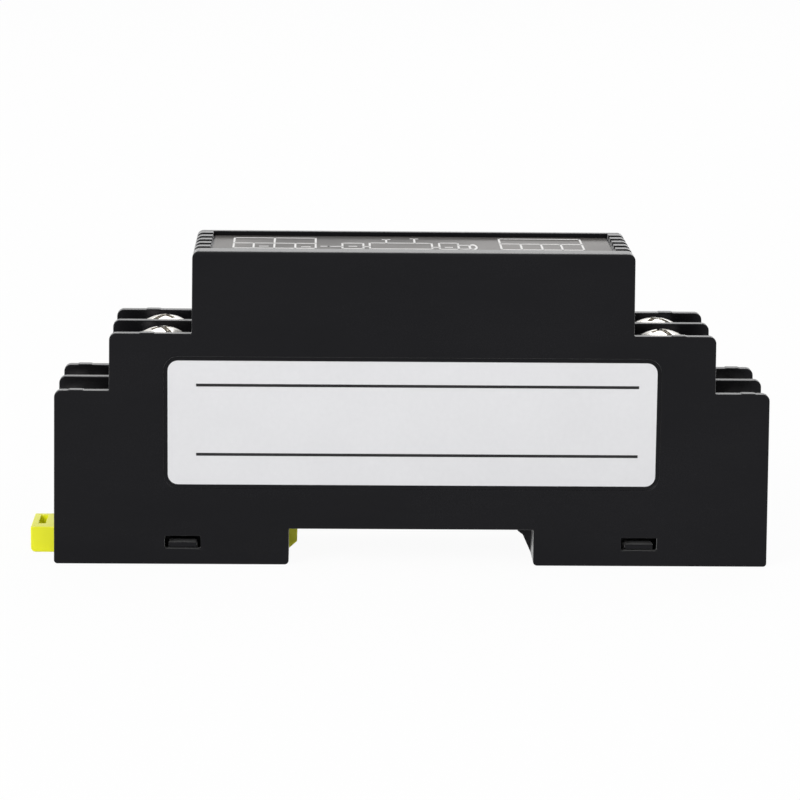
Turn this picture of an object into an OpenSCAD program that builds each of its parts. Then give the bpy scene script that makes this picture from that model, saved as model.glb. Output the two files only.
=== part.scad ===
// Two-tier signal isolator for a 35 mm mounting rail, in a narrow moulded housing.
// Origin at the middle of the rail seat, +Z away from the rail, terminals at both ends along X.

/* [Housing] */
// Thickness of the module along the rail
body_t = 22.5; // [22.5:0.5:28]
// Length over the feet
body_len = 105; // [104:0.5:112]
// Height of the top above the feet
body_h = 46.5; // [45:0.5:54]
// Thickness of the moulded walls
wall_t = 1.5; // [1.2:0.1:1.8]
// Lean of the end faces, in degrees
end_draft = 0.5; // [0:0.25:1]
// Radius of the outline's outer corners
corner_r = 1; // [0.5:0.1:2]
// Radius along the two long top edges
edge_r = 0.6; // [0.3:0.1:1]
// Depth of the side cover, from its face to the parting line
cover_depth = 3.45; // [3:0.05:3.5]

/* [Terminal tiers] */
// Height of the lower terminal tier above the feet
low_h = 25.9; // [25:0.1:27]
// Height of the upper terminal tier above the feet
up_h = 34.4; // [33.5:0.1:36]
// Length of the lower tier's ledge at each end
low_ledge = 8.2; // [8:0.05:8.6]
// Length of the upper tier's ledge at each end
up_ledge = 12.05; // [11.5:0.05:13]
// Depth of the open terminal bays below the tier's top edge
bay_d = 5.2; // [5:0.1:6]
// How much deeper the lower tier's terminals sit
low_drop = 1.5; // [0.5:0.1:2]
// Thickness of the divider between two bays
divider_t = 1.5; // [1:0.1:1.8]
// Height of the divider above the outer walls
divider_rise = 0.15; // [0:0.05:0.4]
// Length of the small nibs on the outer walls
nib_len = 2.1; // [1:0.1:3]
// Height of the small nibs
nib_rise = 0.1; // [0.05:0.05:0.4]

/* [Rail seat] */
// Width of the mounting rail
rail_w = 35; // [34:0.1:35.2]
// Width of the notch that takes the rail
notch_w = 36; // [35.6:0.1:38]
// Depth of the notch above the feet
notch_h = 5.4; // [5.2:0.1:6]
// Gap over the hook for the rail's edge
flange_gap = 1.2; // [1.1:0.05:1.4]
// Reach of the fixed hook into the notch
hook_reach = 2; // [1.4:0.1:2.6]
// Thickness of the hook at its tip
hook_tip_t = 0.4; // [0.3:0.05:0.6]

/* [Rail foot] */
// Width of the sliding foot
foot_bar_w = 9.2; // [8:0.1:10]
// Height of the sliding foot
foot_bar_h = 3.85; // [3.5:0.05:3.9]
// Length that stands out of the housing
foot_tail = 3.9; // [3:0.1:6]
// Reach of the foot's tip into the notch
foot_reach = 1.2; // [1:0.1:1.6]
// Travel that frees the rail
foot_travel = 3.5; // [2.5:0.1:4]
// Width of the screwdriver slot in the tail
pry_w = 1; // [0.8:0.05:1.4]
// Length of the screwdriver slot
pry_len = 5.7; // [4:0.1:6.5]

/* [Screw terminals] */
// Thread diameter
screw_d = 3.5; // [3:0.1:3.6]
// Head diameter
head_d = 6.8; // [6:0.1:7]
// Head height
head_h = 1.7; // [1.6:0.1:2.2]
// Radius of the head's dome
dome_r = 6; // [5:0.1:8]
// Height of the head's crown above the tier
head_rise = 0.05; // [-0.1:0.05:0.4]
// Length under the head
screw_len = 6; // [5.5:0.1:6.5]
// Travel of a screw and its clamp plate
clamp_travel = 2; // [1.5:0.1:2.2]
// Side of the square clamp plate
clamp_w = 6.4; // [6:0.1:6.5]
// Thickness of the clamp plate
clamp_t = 0.9; // [0.7:0.05:1]
// Width of the contact strip
contact_w = 4.8; // [4.4:0.05:4.9]
// Thickness of the contact strip
contact_t = 1; // [0.8:0.05:1.1]
// Distance from the bay's inner wall to the screw's axis
screw_inset = 4.5; // [4.4:0.05:4.55]

/* [Labels and top cover] */
// Distance from the rating label to each end of the upper tier
label_inset = 8.55; // [7:0.05:14]
// Height of the rating label
label_h = 18.4; // [14:0.1:20]
// Height of the rating label's middle above the feet
label_mid = 21.2; // [18:0.1:22]
// Corner radius of the rating label
label_r = 1.5; // [0.5:0.1:3]
// Thickness of both labels
label_t = 0.15; // [0.1:0.01:0.2]
// Depth of the recess for the rating label
label_sink = 0.3; // [0.25:0.01:0.45]
// Length of each ribbed end of the top cover
grip_len = 2.5; // [2.2:0.1:4]
// Grooves in each ribbed end
groove_count = 5; // [3:1:5]
// Spacing of the grooves
groove_pitch = 3.47; // [2.6:0.01:3.5]
// Width of a groove
groove_w = 1.7; // [1:0.1:2]
// Depth of a groove
groove_d = 0.5; // [0.3:0.05:0.7]
// Depth of the top label below the ribbed ends
panel_sink = 0.6; // [0.4:0.05:1]
// Thickness of the top cover
lid_t = 1.5; // [1.2:0.1:1.8]

/* [Circuit board] */
// Thickness of the circuit board
board_t = 1.6; // [1.4:0.05:1.6]
// Free space around the board's edge
board_gap = 0.6; // [0.4:0.05:0.8]

/* [Hidden] */

// Facets on full circles and steps in a rounded corner
$fn = 48;
corner_steps = 6;
// Run of a cut past the face it opens
overrun = 1;
// Sideways play of pieces that are laid into the housing
fit_gap = 0.1;
// Radial clearance of a screw in its plate or thread
thread_gap = 0.05;
// Play of the sliding foot in its channel
slide_gap = 0.15;
// End clearance of the foot's stops
stop_gap = 0.3;

// Levels, all measured from the rail seat
foot_z = -notch_h;
low_z = foot_z + low_h;
up_z = foot_z + up_h;
top_z = foot_z + body_h;
low_seat_z = low_z - low_drop;
low_floor = low_seat_z - bay_d;
up_floor = up_z - bay_d;

// Half lengths at a level, drawn in by the draft
lean_share = tan(end_draft);
up_len = body_len - 2 * low_ledge;
block_len = up_len - 2 * up_ledge;
label_len = up_len - 2 * label_inset;
function end_x(z) = body_len / 2 - (z - foot_z) * lean_share;
function up_x(z) = up_len / 2 - (z - low_z) * lean_share;
function block_x(z) = block_len / 2 - (z - up_z) * lean_share;
notch_x = notch_w / 2;
up_in_x = up_x(up_z) - wall_t;
block_in_x = block_x(top_z) - wall_t;

// Faces across the thickness
front_y = -body_t / 2;
back_y = body_t / 2;
front_in_y = front_y + wall_t;
back_in_y = back_y - wall_t;
split_y = front_y + cover_depth;
row_y = (back_in_y + divider_t / 2) / 2;

// Corner radii of the feet and the notch
foot_corner_r = 0.5;
notch_corner_r = 0.6;

// Distance of the nibs from the end faces
nib_up_inset = 5.5;
nib_low_inset = 3.15;

// Top cover
panel_drop = panel_sink + label_t;
lid_under = top_z - panel_drop - lid_t;
lid_skirt = 0.75;
lid_seat_z = lid_under - lid_skirt;
panel_x = block_x(top_z) - grip_len;
lid_leg_t = 1;
lid_leg_w = 3.6;
lid_leg_y = 4.2;
lid_leg_len = 4;
lid_barb = 0.4;
lid_barb_h = 1.2;
label_edge = 0.3;
light_place_share = 0.3;
light_y = -3.2;
light_hole_r = 1.7;

// Rating label recess
label_margin = 0.6;
label_z = foot_z + label_mid;

// Snap tongues of the base shell and their windows in the side cover
latch_inset = 18.9;
latch_x = body_len / 2 - latch_inset;
latch_w = 4.1;
latch_window_w = 5.3;
latch_window_low = 2.3;
latch_window_h = 1.95;
latch_tab_low = 2.5;
latch_tab_h = 0.7;
latch_arm_t = 1.1;
latch_arm_root = 3;
latch_face_gap = 0.3;

// Sliding foot and its channel
foot_lift = 0.15;
foot_rib_out = 1;
foot_rib_low = 1.6;
foot_rib_h = 1.15;
foot_tip_h = 2;
foot_chamfer = 1.05;
foot_corner = 0.7;
pry_inset = 1.5;
pry_shift = 0.75;
arm_slit_w = 0.8;
arm_slit_len = 15;
arm_t = 1.4;
arm_bump_r = 1.5;
arm_bump_out = 0.35;
arm_ridge_gap = 0.05;
channel_wall = 1.2;
foot_top = foot_z + foot_lift + foot_bar_h;
channel_top = foot_top + slide_gap;
channel_half = foot_bar_w / 2 + slide_gap;
channel_rib_half = foot_bar_w / 2 + foot_rib_out + slide_gap;
foot_end_x = end_x(foot_z) + foot_tail;
foot_tip_x = notch_x - foot_reach;
foot_rib_x0 = notch_x + wall_t + stop_gap;
foot_rib_x1 = end_x(foot_z) - wall_t - foot_travel - stop_gap;
arm_mid_x = (foot_rib_x0 + foot_rib_x1) / 2;

// Fixed hook
rail_play = 0.1;
hook_pad = notch_x - rail_w / 2 - rail_play;
hook_top = -flange_gap;
hook_shelf = 0.8;
hook_shelf_drop = 0.6;
hook_root_share = 0.1;
hook_root_z = foot_z + hook_root_share * notch_h;

// Screw terminals
screw_r = screw_d / 2;
head_under = head_rise - head_h;
contact_top = head_under - clamp_t;
collar_r = 2.45;
floor_hole_r = 2.1;
lip_drop = 0.8;
lip_gap = 0.3;
contact_nose = 3;
tab_len = 2.5;
slot_len = 5.6;
slot_w = 0.9;
slot_d = 1;
cross_len = 3.6;
cross_d = 1.4;
tip_chamfer = 0.4;
contact_drop = bay_d + contact_top;
// How the screws' slots happen to stand, in degrees, in the order of the list of nodes
slot_turns = [62, 48, 118, 35, 20, 75, 140, 95];

// Circuit board and its posts
board_y = board_t / 2;
board_low_x = up_in_x - board_gap;
board_up_x = block_in_x - board_gap;
board_low = wall_t + board_gap;
board_mid = up_floor - wall_t - board_gap;
board_top = lid_under - board_gap;
light_x = board_up_x * light_place_share;
post_r = 2.2;
post_pin_r = 1;
post_pin_gap = 0.1;
post_pin_out = 1.5;
post_inset = 3.6;
post_place_share = 0.833;
post_places = [for (s = [-1, 1]) [s * (board_low_x - post_inset), board_low + post_inset],
    for (s = [-1, 1]) [s * board_up_x * post_place_share, board_top - post_inset]];

// Isolation transformer, on the front of the board
core_w = 14;
core_h = 13;
core_leg = 3.6;
core_side = 2;
core_spine = 2.6;
bobbin_wall = 0.5;
bobbin_flange = 0.6;
bobbin_headroom = 1.55;
bobbin_d = -board_y - front_in_y - bobbin_headroom;
bobbin_reach = 1.7;
core_d = bobbin_d - 2 * bobbin_reach;
bobbin_gap = 0.1;
winding_margin = 0.4;
core_window_w = core_w - 2 * core_spine;
core_window_h = (core_h - core_leg - 2 * core_side) / 2;
transformer_y = -(board_y + bobbin_d / 2);
transformer_z = (board_low + board_mid) / 2;

// Electrolytic capacitors, standing on the front of the board
cap_r = 3.15;
cap_headroom = 1.35;
cap_h = -board_y - front_in_y - cap_headroom;
cap_base = 6.6;
cap_base_h = 0.8;
cap_groove_r = 0.3;
cap_place_share = 0.5;

// Drum choke, on the back of the board
choke_r = 3;
choke_core_r = 1.6;
choke_h = 4.6;
choke_flange = 0.8;
choke_winding_gap = 0.3;

// Moulded chips and their leads
chip_body_lift = 0.2;
lead_w = 0.4;
lead_t = 0.2;
lead_out = 1;
opto_w = 9.2;
opto_d = 3.4;
opto_h = 6.4;
opto_leads = 3;
amp_w = 5;
amp_d = 1.5;
amp_h = 4;
amp_leads = 4;
reg_w = 6.5;
reg_d = 2.2;
reg_h = 6;
reg_leads = 3;
diode_w = 4.3;
diode_h = 2.6;
diode_d = 2.2;
diode_pitch = 4.2;
resistor_w = 2;
resistor_h = 1.2;
resistor_d = 0.5;

// Trimmers at the board's top edge
trimmer_w = 6.6;
trimmer_d = 4.6;
trimmer_h = 6.8;
trimmer_place_share = 0.56;
trimmer_x = board_up_x * trimmer_place_share;
trimmer_screw_r = 1.1;
trimmer_screw_h = 1.4;
trimmer_slot_w = 0.5;
trimmer_slot_d = 0.5;
trimmer_pocket = 1;
trimmer_drop = 1.6;
trimmer_screw_out = 0.3;

// Power light under the top cover
light_r = 1.5;
light_rim_r = 1.8;
light_rim_h = 0.7;
light_h = 4.2;
light_leg = 0.5;
light_leg_out = 1.2;
light_drop = 0.3;

// Solid between two faces across the thickness, from an outline in X and Z
module slab(y0, y1) {
    translate([0, y1, 0]) rotate([90, 0, 0]) linear_extrude(y1 - y0) children();
}

// Box between two corners
module box(a, b) {
    translate(a) cube(b - a);
}

// Outline with each corner rounded by the radius given as its third number
function unit(v) = v / norm(v);
function turn_of(v) = atan2(v[1], v[0]);
function corner(a, b, c, r) = r == 0 ? [b] :
    let (u = unit(a - b), w = unit(c - b), half = acos(u * w) / 2)
    let (mid = b + unit(u + w) * r / sin(half))
    let (a0 = turn_of(b + u * r / tan(half) - mid), a1 = turn_of(b + w * r / tan(half) - mid))
    let (step = ((a1 - a0 + 540) % 360 - 180) / corner_steps)
    [for (i = [0:corner_steps]) mid + r * [cos(a0 + step * i), sin(a0 + step * i)]];
function flat(p) = [p[0], p[1]];
function rounded(pts) = let (n = len(pts)) [for (i = [0:n - 1])
    each corner(flat(pts[(i + n - 1) % n]), flat(pts[i]), flat(pts[(i + 1) % n]), pts[i][2])];
// A half outline, mirrored to the other side
function across(p) = [-p[0], p[1], p[2]];
function both_sides(half) = concat(half, [for (i = [len(half) - 1:-1:0]) across(half[i])]);

// Silhouette of the housing: two feet, two tiers, the raised block and the rail notch
module housing_outline() {
    polygon(rounded(both_sides([
        [notch_x, 0, 0],
        [notch_x, foot_z, notch_corner_r],
        [end_x(foot_z), foot_z, foot_corner_r],
        [end_x(low_z), low_z, corner_r],
        [up_x(low_z), low_z, 0],
        [up_x(up_z), up_z, corner_r],
        [block_x(up_z), up_z, 0],
        [block_x(top_z), top_z, corner_r]])));
}

// Inside of the housing, one wall within the silhouette and under the bays, up to a given level
module cavity_outline(level) {
    polygon(rounded(both_sides([
        [notch_x + wall_t, wall_t, 0],
        [notch_x + wall_t, foot_z + wall_t, 0],
        [end_x(low_floor) - wall_t, foot_z + wall_t, 0],
        [end_x(low_floor) - wall_t, low_floor - wall_t, 0],
        [up_in_x, low_floor - wall_t, 0],
        [up_in_x, up_floor - wall_t, 0],
        [block_in_x, up_floor - wall_t, 0],
        [block_in_x, level, 0]])));
}

// The four open terminal bays, seen from the side
module bay_outline() {
    for (s = [0, 1]) mirror([s, 0]) {
        polygon([[up_x(low_z), low_floor], [end_x(foot_z) + overrun, low_floor],
            [end_x(foot_z) + overrun, low_z + overrun], [up_x(low_z), low_z + overrun]]);
        polygon([[block_x(up_z), up_floor], [up_x(low_z) + overrun, up_floor],
            [up_x(low_z) + overrun, up_z + overrun], [block_x(up_z), up_z + overrun]]);
    }
}

// Everything above the rounded top edges, to be cut away
module top_edge_cut() {
    for (s = [0, 1]) mirror([0, s, 0]) difference() {
        box([-body_len, front_y - overrun, top_z - edge_r], [body_len, front_y + edge_r, top_z + overrun]);
        translate([-body_len, front_y + edge_r, top_z - edge_r]) rotate([0, 90, 0])
            cylinder(r = edge_r, h = 2 * body_len);
    }
}

// Small nibs on an outer wall, between two faces
module nibs(y0, y1) {
    for (s = [-1, 1]) {
        for (p = [[up_x(up_z) - nib_up_inset, up_z], [end_x(low_z) - nib_low_inset, low_z]])
            translate([s * p[0], 0, p[1]]) slab(y0, y1) polygon([
                [-nib_len / 2, -overrun],
                [nib_len / 2, -overrun],
                [nib_len / 2, 0],
                [nib_len / 2 - nib_rise, nib_rise],
                [nib_rise - nib_len / 2, nib_rise],
                [-nib_len / 2, 0]]);
    }
}

// Puts a terminal's piece in its bay: origin on the screw's axis, at the tier's top edge
module in_bay(side, tier_z, inner_x, row) {
    mirror([side < 0 ? 1 : 0, 0, 0]) mirror([0, row > 0 ? 1 : 0, 0])
        translate([inner_x + screw_inset, -row_y, tier_z]) children();
}
module in_upper_bay(side, row) {
    in_bay(side, up_z, block_x(up_z), row) children();
}
module in_lower_bay(side, row) {
    in_bay(side, low_seat_z, up_x(low_z), row) children();
}
module in_every_bay() {
    for (side = [-1, 1]) for (row = [-1, 1]) {
        in_upper_bay(side, row) children();
        in_lower_bay(side, row) children();
    }
}

// What a contact takes out of the bay's inner wall and floor
module contact_cut() {
    box([-screw_inset - wall_t - overrun, -contact_w / 2 - fit_gap, contact_top - contact_t],
        [-screw_inset + overrun, contact_w / 2 + fit_gap, contact_top + fit_gap]);
    translate([0, 0, -bay_d - wall_t - overrun]) cylinder(r = floor_hole_r, h = wall_t + 2 * overrun);
}

// Channel of the sliding foot under the left end, with ledges that carry the foot's ribs
module foot_channel() {
    difference() {
        box([-end_x(foot_z + notch_h / 2) + wall_t / 2, -channel_rib_half - channel_wall, foot_z],
            [-notch_x - wall_t / 2, channel_rib_half + channel_wall, channel_top + channel_wall]);
        foot_channel_cut();
    }
}
module foot_channel_cut() {
    box([-end_x(foot_z) - overrun, -channel_half, foot_z - overrun],
        [-notch_x + overrun, channel_half, channel_top]);
    box([-end_x(foot_z) + wall_t, -channel_rib_half, foot_z + foot_rib_low - slide_gap],
        [-notch_x - wall_t, channel_rib_half, channel_top]);
    // Detent pockets for the bumps of the two spring arms, at rest and pulled out, with a low ridge between
    for (x = [-arm_mid_x, -arm_mid_x - foot_travel]) for (s = [-1, 1])
        translate([x, s * (foot_bar_w / 2 + arm_bump_out - arm_bump_r), foot_z - overrun])
            cylinder(r = arm_bump_r + slide_gap, h = foot_rib_low + overrun);
    box([-arm_mid_x - foot_travel, -foot_bar_w / 2 - arm_bump_out - arm_ridge_gap, foot_z - overrun],
        [-arm_mid_x, foot_bar_w / 2 + arm_bump_out + arm_ridge_gap, foot_z + foot_rib_low]);
}

// Fixed hook that goes under the rail's edge, with the pad that the edge butts against
module rail_hook() {
    slab(-foot_bar_w / 2, foot_bar_w / 2) {
        polygon([[notch_x + wall_t / 2, hook_top], [notch_x - hook_reach, hook_top],
            [notch_x - hook_reach, hook_top - hook_tip_t],
            [notch_x - hook_reach + hook_shelf, hook_top - hook_tip_t - hook_shelf_drop],
            [notch_x, hook_root_z], [notch_x + wall_t / 2, hook_root_z]]);
        polygon([[notch_x + wall_t / 2, hook_top], [notch_x - hook_pad, hook_top],
            [notch_x - hook_pad, wall_t / 2], [notch_x + wall_t / 2, wall_t / 2]]);
    }
}

// Snap tongue that runs over the cover's lower rim and shows in its window
module snap_tongue() {
    arm_low = foot_z + wall_t + fit_gap;
    arm_end = [latch_w / 2, split_y + latch_arm_root, arm_low + latch_arm_t];
    box([-latch_w / 2, split_y, foot_z + wall_t / 2], arm_end);
    box([-latch_w / 2, front_in_y + fit_gap, arm_low], arm_end);
    box([-latch_w / 2, front_y + latch_face_gap, foot_z + latch_tab_low],
        [latch_w / 2, front_in_y + wall_t, foot_z + latch_tab_low + latch_tab_h]);
}

// Posts with locating pins that carry the circuit board
module board_posts() {
    for (p = post_places) translate([p[0], back_in_y, p[1]]) rotate([90, 0, 0]) {
        translate([0, 0, -wall_t / 2]) cylinder(r = post_r, h = back_in_y - board_y + wall_t / 2);
        cylinder(r = post_pin_r, h = back_in_y + board_y + post_pin_out);
    }
}

module base_shell() {
    color([0.13, 0.13, 0.135]) difference() {
        union() {
            difference() {
                slab(split_y, back_y) housing_outline();
                slab(split_y - overrun, back_in_y) cavity_outline(top_z + overrun);
                slab(split_y - overrun, -divider_t / 2) bay_outline();
                slab(divider_t / 2, back_in_y) bay_outline();
                box([-block_len, split_y - overrun, lid_seat_z], [block_len, back_in_y, top_z + overrun]);
            }
            dividers();
            foot_channel();
            rail_hook();
            board_posts();
            for (s = [-1, 1]) translate([s * latch_x, 0, 0]) snap_tongue();
            nibs(back_in_y, back_y);
        }
        foot_channel_cut();
        in_every_bay() contact_cut();
        top_edge_cut();
        at_lid_legs() lid_catch();
    }
}

// The dividers' raised top edge
module dividers() {
    slab(-divider_t / 2, divider_t / 2) for (s = [0, 1]) mirror([s, 0]) {
        polygon(rounded([
            [up_x(low_z) - wall_t / 2, low_floor, 0],
            [end_x(low_floor), low_floor, 0],
            [end_x(low_z), low_z + divider_rise, corner_r],
            [up_x(low_z) - wall_t / 2, low_z + divider_rise, 0]]));
        polygon(rounded([
            [block_x(up_z) - wall_t / 2, up_floor, 0],
            [up_x(up_floor), up_floor, 0],
            [up_x(up_z), up_z + divider_rise, corner_r],
            [block_x(up_z) - wall_t / 2, up_z + divider_rise, 0]]));
    }
}

// The top cover has two legs at each end, one on either side of the circuit board
module at_lid_legs() {
    for (s = [0, 1]) for (y = [-lid_leg_y, lid_leg_y]) mirror([s, 0, 0]) translate([0, y, 0]) children();
}

// Pocket in the block's end wall that holds a leg's barb
module lid_catch() {
    barb_z = lid_under - lid_leg_len;
    box([block_in_x - overrun, -lid_leg_w / 2 - fit_gap, barb_z - fit_gap],
        [block_in_x + lid_barb + fit_gap, lid_leg_w / 2 + fit_gap, barb_z + lid_barb_h + fit_gap]);
}

module side_cover() {
    color([0.13, 0.13, 0.135]) difference() {
        union() {
            difference() {
                slab(front_y, split_y) housing_outline();
                slab(front_in_y, split_y + overrun) cavity_outline(top_z - wall_t);
                slab(front_in_y, split_y + overrun) bay_outline();
            }
            nibs(front_y, front_in_y);
            for (p = post_places) translate([p[0], front_in_y - wall_t / 2, p[1]]) rotate([-90, 0, 0])
                cylinder(r = post_r, h = -board_y - front_in_y + wall_t / 2);
        }
        for (p = post_places) translate([p[0], -board_y + overrun, p[1]]) rotate([90, 0, 0])
            cylinder(r = post_pin_r + post_pin_gap, h = post_pin_out + 2 * overrun);
        slab(front_y - overrun, front_y + label_sink)
            label_outline(label_len + 2 * label_margin, label_h + 2 * label_margin, label_r + label_margin);
        for (s = [-1, 1]) translate([s * latch_x, 0, foot_z + latch_window_low])
            box([-latch_window_w / 2, front_y - overrun, 0],
                [latch_window_w / 2, front_in_y + overrun, latch_window_h]);
        top_edge_cut();
    }
}

// Rounded rectangle at the rating label's place
module label_outline(w, h, r) {
    translate([0, label_z])
        polygon(rounded([[w / 2, -h / 2, r], [w / 2, h / 2, r], [-w / 2, h / 2, r], [-w / 2, -h / 2, r]]));
}

module rating_label() {
    color([0.87, 0.87, 0.88])
        slab(front_y + label_sink - label_t, front_y + label_sink) label_outline(label_len, label_h, label_r);
}

// Top cover: a plate sunk between two ribbed finger grips, with a barbed leg at each end
module top_cover() {
    color([0.14, 0.14, 0.145]) difference() {
        union() {
            slab(split_y + fit_gap, back_in_y - fit_gap) polygon(rounded(both_sides([
                [block_in_x, lid_under, 0],
                [block_in_x, lid_seat_z, 0],
                [block_x(lid_seat_z), lid_seat_z, 0],
                [block_x(top_z), top_z, corner_r],
                [panel_x, top_z, 0],
                [panel_x, top_z - panel_drop, 0]])));
            at_lid_legs() lid_leg();
        }
        for (i = [0:groove_count - 1])
            translate([0, (i - (groove_count - 1) / 2) * groove_pitch, 0]) for (s = [0, 1]) mirror([s, 0, 0])
                box([panel_x - overrun, -groove_w / 2, top_z - groove_d],
                    [block_x(top_z) + overrun, groove_w / 2, top_z + overrun]);
        translate([light_x, light_y, lid_under - overrun])
            cylinder(r = light_hole_r, h = lid_t + 2 * overrun);
    }
}
module lid_leg() {
    slab(-lid_leg_w / 2, lid_leg_w / 2) polygon([
        [block_in_x - fit_gap - lid_leg_t, lid_under + lid_t / 2],
        [block_in_x - fit_gap - lid_leg_t, lid_under - lid_leg_len],
        [block_in_x - fit_gap, lid_under - lid_leg_len],
        [block_in_x + lid_barb, lid_under - lid_leg_len + lid_barb_h],
        [block_in_x - fit_gap, lid_under - lid_leg_len + lid_barb_h],
        [block_in_x - fit_gap, lid_under + lid_t / 2]]);
}

module top_label() {
    color([0.08, 0.075, 0.07])
        box([-panel_x + label_edge, split_y + fit_gap + label_edge, top_z - panel_drop],
            [panel_x - label_edge, back_in_y - fit_gap - label_edge, top_z - panel_sink]);
}

// Sliding foot: a bar with guide ribs, two spring arms, a chamfered tip and a slotted tail
module rail_foot() {
    color([0.86, 0.93, 0.12]) difference() {
        union() {
            slab(-foot_bar_w / 2, foot_bar_w / 2) polygon(rounded([
                [-foot_end_x, foot_z + foot_lift, foot_corner],
                [-foot_tip_x - 2 * foot_chamfer, foot_z + foot_lift, 0],
                [-foot_tip_x, foot_top - foot_tip_h, 0],
                [-foot_tip_x, foot_top, 0],
                [-foot_end_x, foot_top, 0]]));
            for (x = [[-foot_rib_x1, -arm_mid_x - arm_slit_len / 2],
                    [-arm_mid_x + arm_slit_len / 2, -foot_rib_x0]])
                box([x[0], -foot_bar_w / 2 - foot_rib_out, foot_z + foot_rib_low],
                    [x[1], foot_bar_w / 2 + foot_rib_out, foot_z + foot_rib_low + foot_rib_h]);
            for (s = [-1, 1])
                translate([-arm_mid_x, s * (foot_bar_w / 2 + arm_bump_out - arm_bump_r), foot_z + foot_lift])
                    cylinder(r = arm_bump_r, h = foot_rib_low);
        }
        for (s = [-1, 1]) translate([-arm_mid_x, s * (foot_bar_w / 2 - arm_t - arm_slit_w / 2), 0])
            box([-arm_slit_len / 2, -arm_slit_w / 2, foot_z - overrun],
                [arm_slit_len / 2, arm_slit_w / 2, foot_top + overrun]);
        translate([-foot_end_x + pry_inset, pry_shift, 0])
            box([-pry_w / 2, -pry_len / 2, foot_z - overrun], [pry_w / 2, pry_len / 2, foot_top + overrun]);
    }
}

// Contact strip: thread collar standing on the bay's floor, tail through the wall, tab on the board
module contact() {
    tail_x = screw_inset + wall_t + board_gap;
    color([0.8, 0.72, 0.5]) difference() {
        union() {
            box([-tail_x - tab_len, -contact_w / 2, contact_top - contact_t],
                [contact_nose, contact_w / 2, contact_top]);
            box([-tail_x - tab_len, 0, contact_top - contact_t], [-tail_x, row_y - board_y, contact_top]);
            translate([0, 0, -bay_d]) cylinder(r = collar_r, h = contact_drop);
        }
        translate([0, 0, -bay_d - overrun]) cylinder(r = screw_r + thread_gap, h = bay_d + overrun);
    }
}

// Square clamp plate with two turned-down lips beside the contact
module clamp_plate() {
    color([0.8, 0.81, 0.82]) difference() {
        union() {
            box([-clamp_w / 2, -clamp_w / 2, contact_top], [clamp_w / 2, clamp_w / 2, head_under]);
            for (s = [0, 1]) mirror([0, s, 0])
                box([-clamp_w / 2, contact_w / 2 + lip_gap, contact_top - lip_drop],
                    [clamp_w / 2, clamp_w / 2, contact_top]);
        }
        translate([0, 0, contact_top - overrun])
            cylinder(r = screw_r + thread_gap, h = clamp_t + 2 * overrun);
    }
}

// Cut of a given length, width and depth across the middle of a screw's head
module slot_cut(len_x, len_y, depth) {
    box([-len_x / 2, -len_y / 2, head_rise - depth], [len_x / 2, len_y / 2, head_rise + overrun]);
}

// Domed terminal screw with a slot and a cross recess, turned by an angle
module terminal_screw(turn) {
    color([0.83, 0.83, 0.81]) rotate([0, 0, turn]) difference() {
        union() {
            intersection() {
                translate([0, 0, head_rise - dome_r]) sphere(r = dome_r);
                translate([0, 0, head_under]) cylinder(d = head_d, h = head_h + overrun);
            }
            translate([0, 0, head_under - screw_len + tip_chamfer])
                cylinder(r = screw_r, h = screw_len - tip_chamfer + overrun / 2);
            translate([0, 0, head_under - screw_len])
                cylinder(r1 = screw_r - tip_chamfer, r2 = screw_r, h = tip_chamfer);
        }
        slot_cut(slot_len, slot_w, slot_d);
        slot_cut(cross_len, slot_w, cross_d);
        slot_cut(slot_w, cross_len, cross_d);
    }
}

module circuit_board() {
    color([0.1, 0.35, 0.2]) difference() {
        slab(-board_y, board_y) polygon(rounded(both_sides([
            [board_low_x, board_low, 0],
            [board_low_x, board_mid, 0],
            [board_up_x, board_mid, 0],
            [board_up_x, board_top, 0]])));
        for (p = post_places) translate([p[0], board_t, p[1]]) rotate([90, 0, 0])
            cylinder(r = post_pin_r + post_pin_gap, h = 2 * board_t);
    }
}

// The transformer's pieces share a frame at its middle
module at_transformer() {
    translate([0, transformer_y, transformer_z]) children();
}
module block(w, d, h) {
    cube([w, d, h], center = true);
}
module transformer_core() {
    color([0.25, 0.24, 0.24]) at_transformer() difference() {
        block(core_w, core_d, core_h);
        for (s = [-1, 1]) translate([0, 0, s * (core_leg + core_window_h) / 2])
            block(core_window_w, core_d + overrun, core_window_h);
    }
}
module transformer_bobbin() {
    tube = core_leg + 2 * (bobbin_gap + bobbin_wall);
    color([0.1, 0.1, 0.1]) at_transformer() difference() {
        union() {
            block(core_window_w - 2 * bobbin_gap, core_d + 2 * (bobbin_gap + bobbin_wall), tube);
            for (s = [-1, 1]) translate([s * (core_window_w / 2 - bobbin_gap - bobbin_flange / 2), 0, 0])
                block(bobbin_flange, bobbin_d, core_leg + 2 * (core_window_h - bobbin_gap));
        }
        block(core_w, core_d + 2 * bobbin_gap, core_leg + 2 * bobbin_gap);
    }
}
module transformer_winding() {
    tube_h = core_leg + 2 * (bobbin_gap + bobbin_wall);
    color([0.72, 0.42, 0.2]) at_transformer() difference() {
        block(core_window_w - 2 * (bobbin_gap + bobbin_flange), bobbin_d - 2 * winding_margin,
            core_leg + 2 * (core_window_h - winding_margin));
        block(core_w, core_d + 2 * (bobbin_gap + bobbin_wall), tube_h);
    }
}

// Electrolytic capacitor with a square base and a rolled groove
module capacitor(side) {
    translate([side * board_low_x * cap_place_share, -board_y, transformer_z]) rotate([90, 0, 0]) {
        color([0.12, 0.12, 0.12]) linear_extrude(cap_base_h) square(cap_base, center = true);
        color([0.75, 0.76, 0.78]) difference() {
            cylinder(r = cap_r, h = cap_h);
            translate([0, 0, cap_base_h + cap_groove_r])
                rotate_extrude() translate([cap_r, 0]) circle(r = cap_groove_r, $fn = 16);
        }
    }
}

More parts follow.
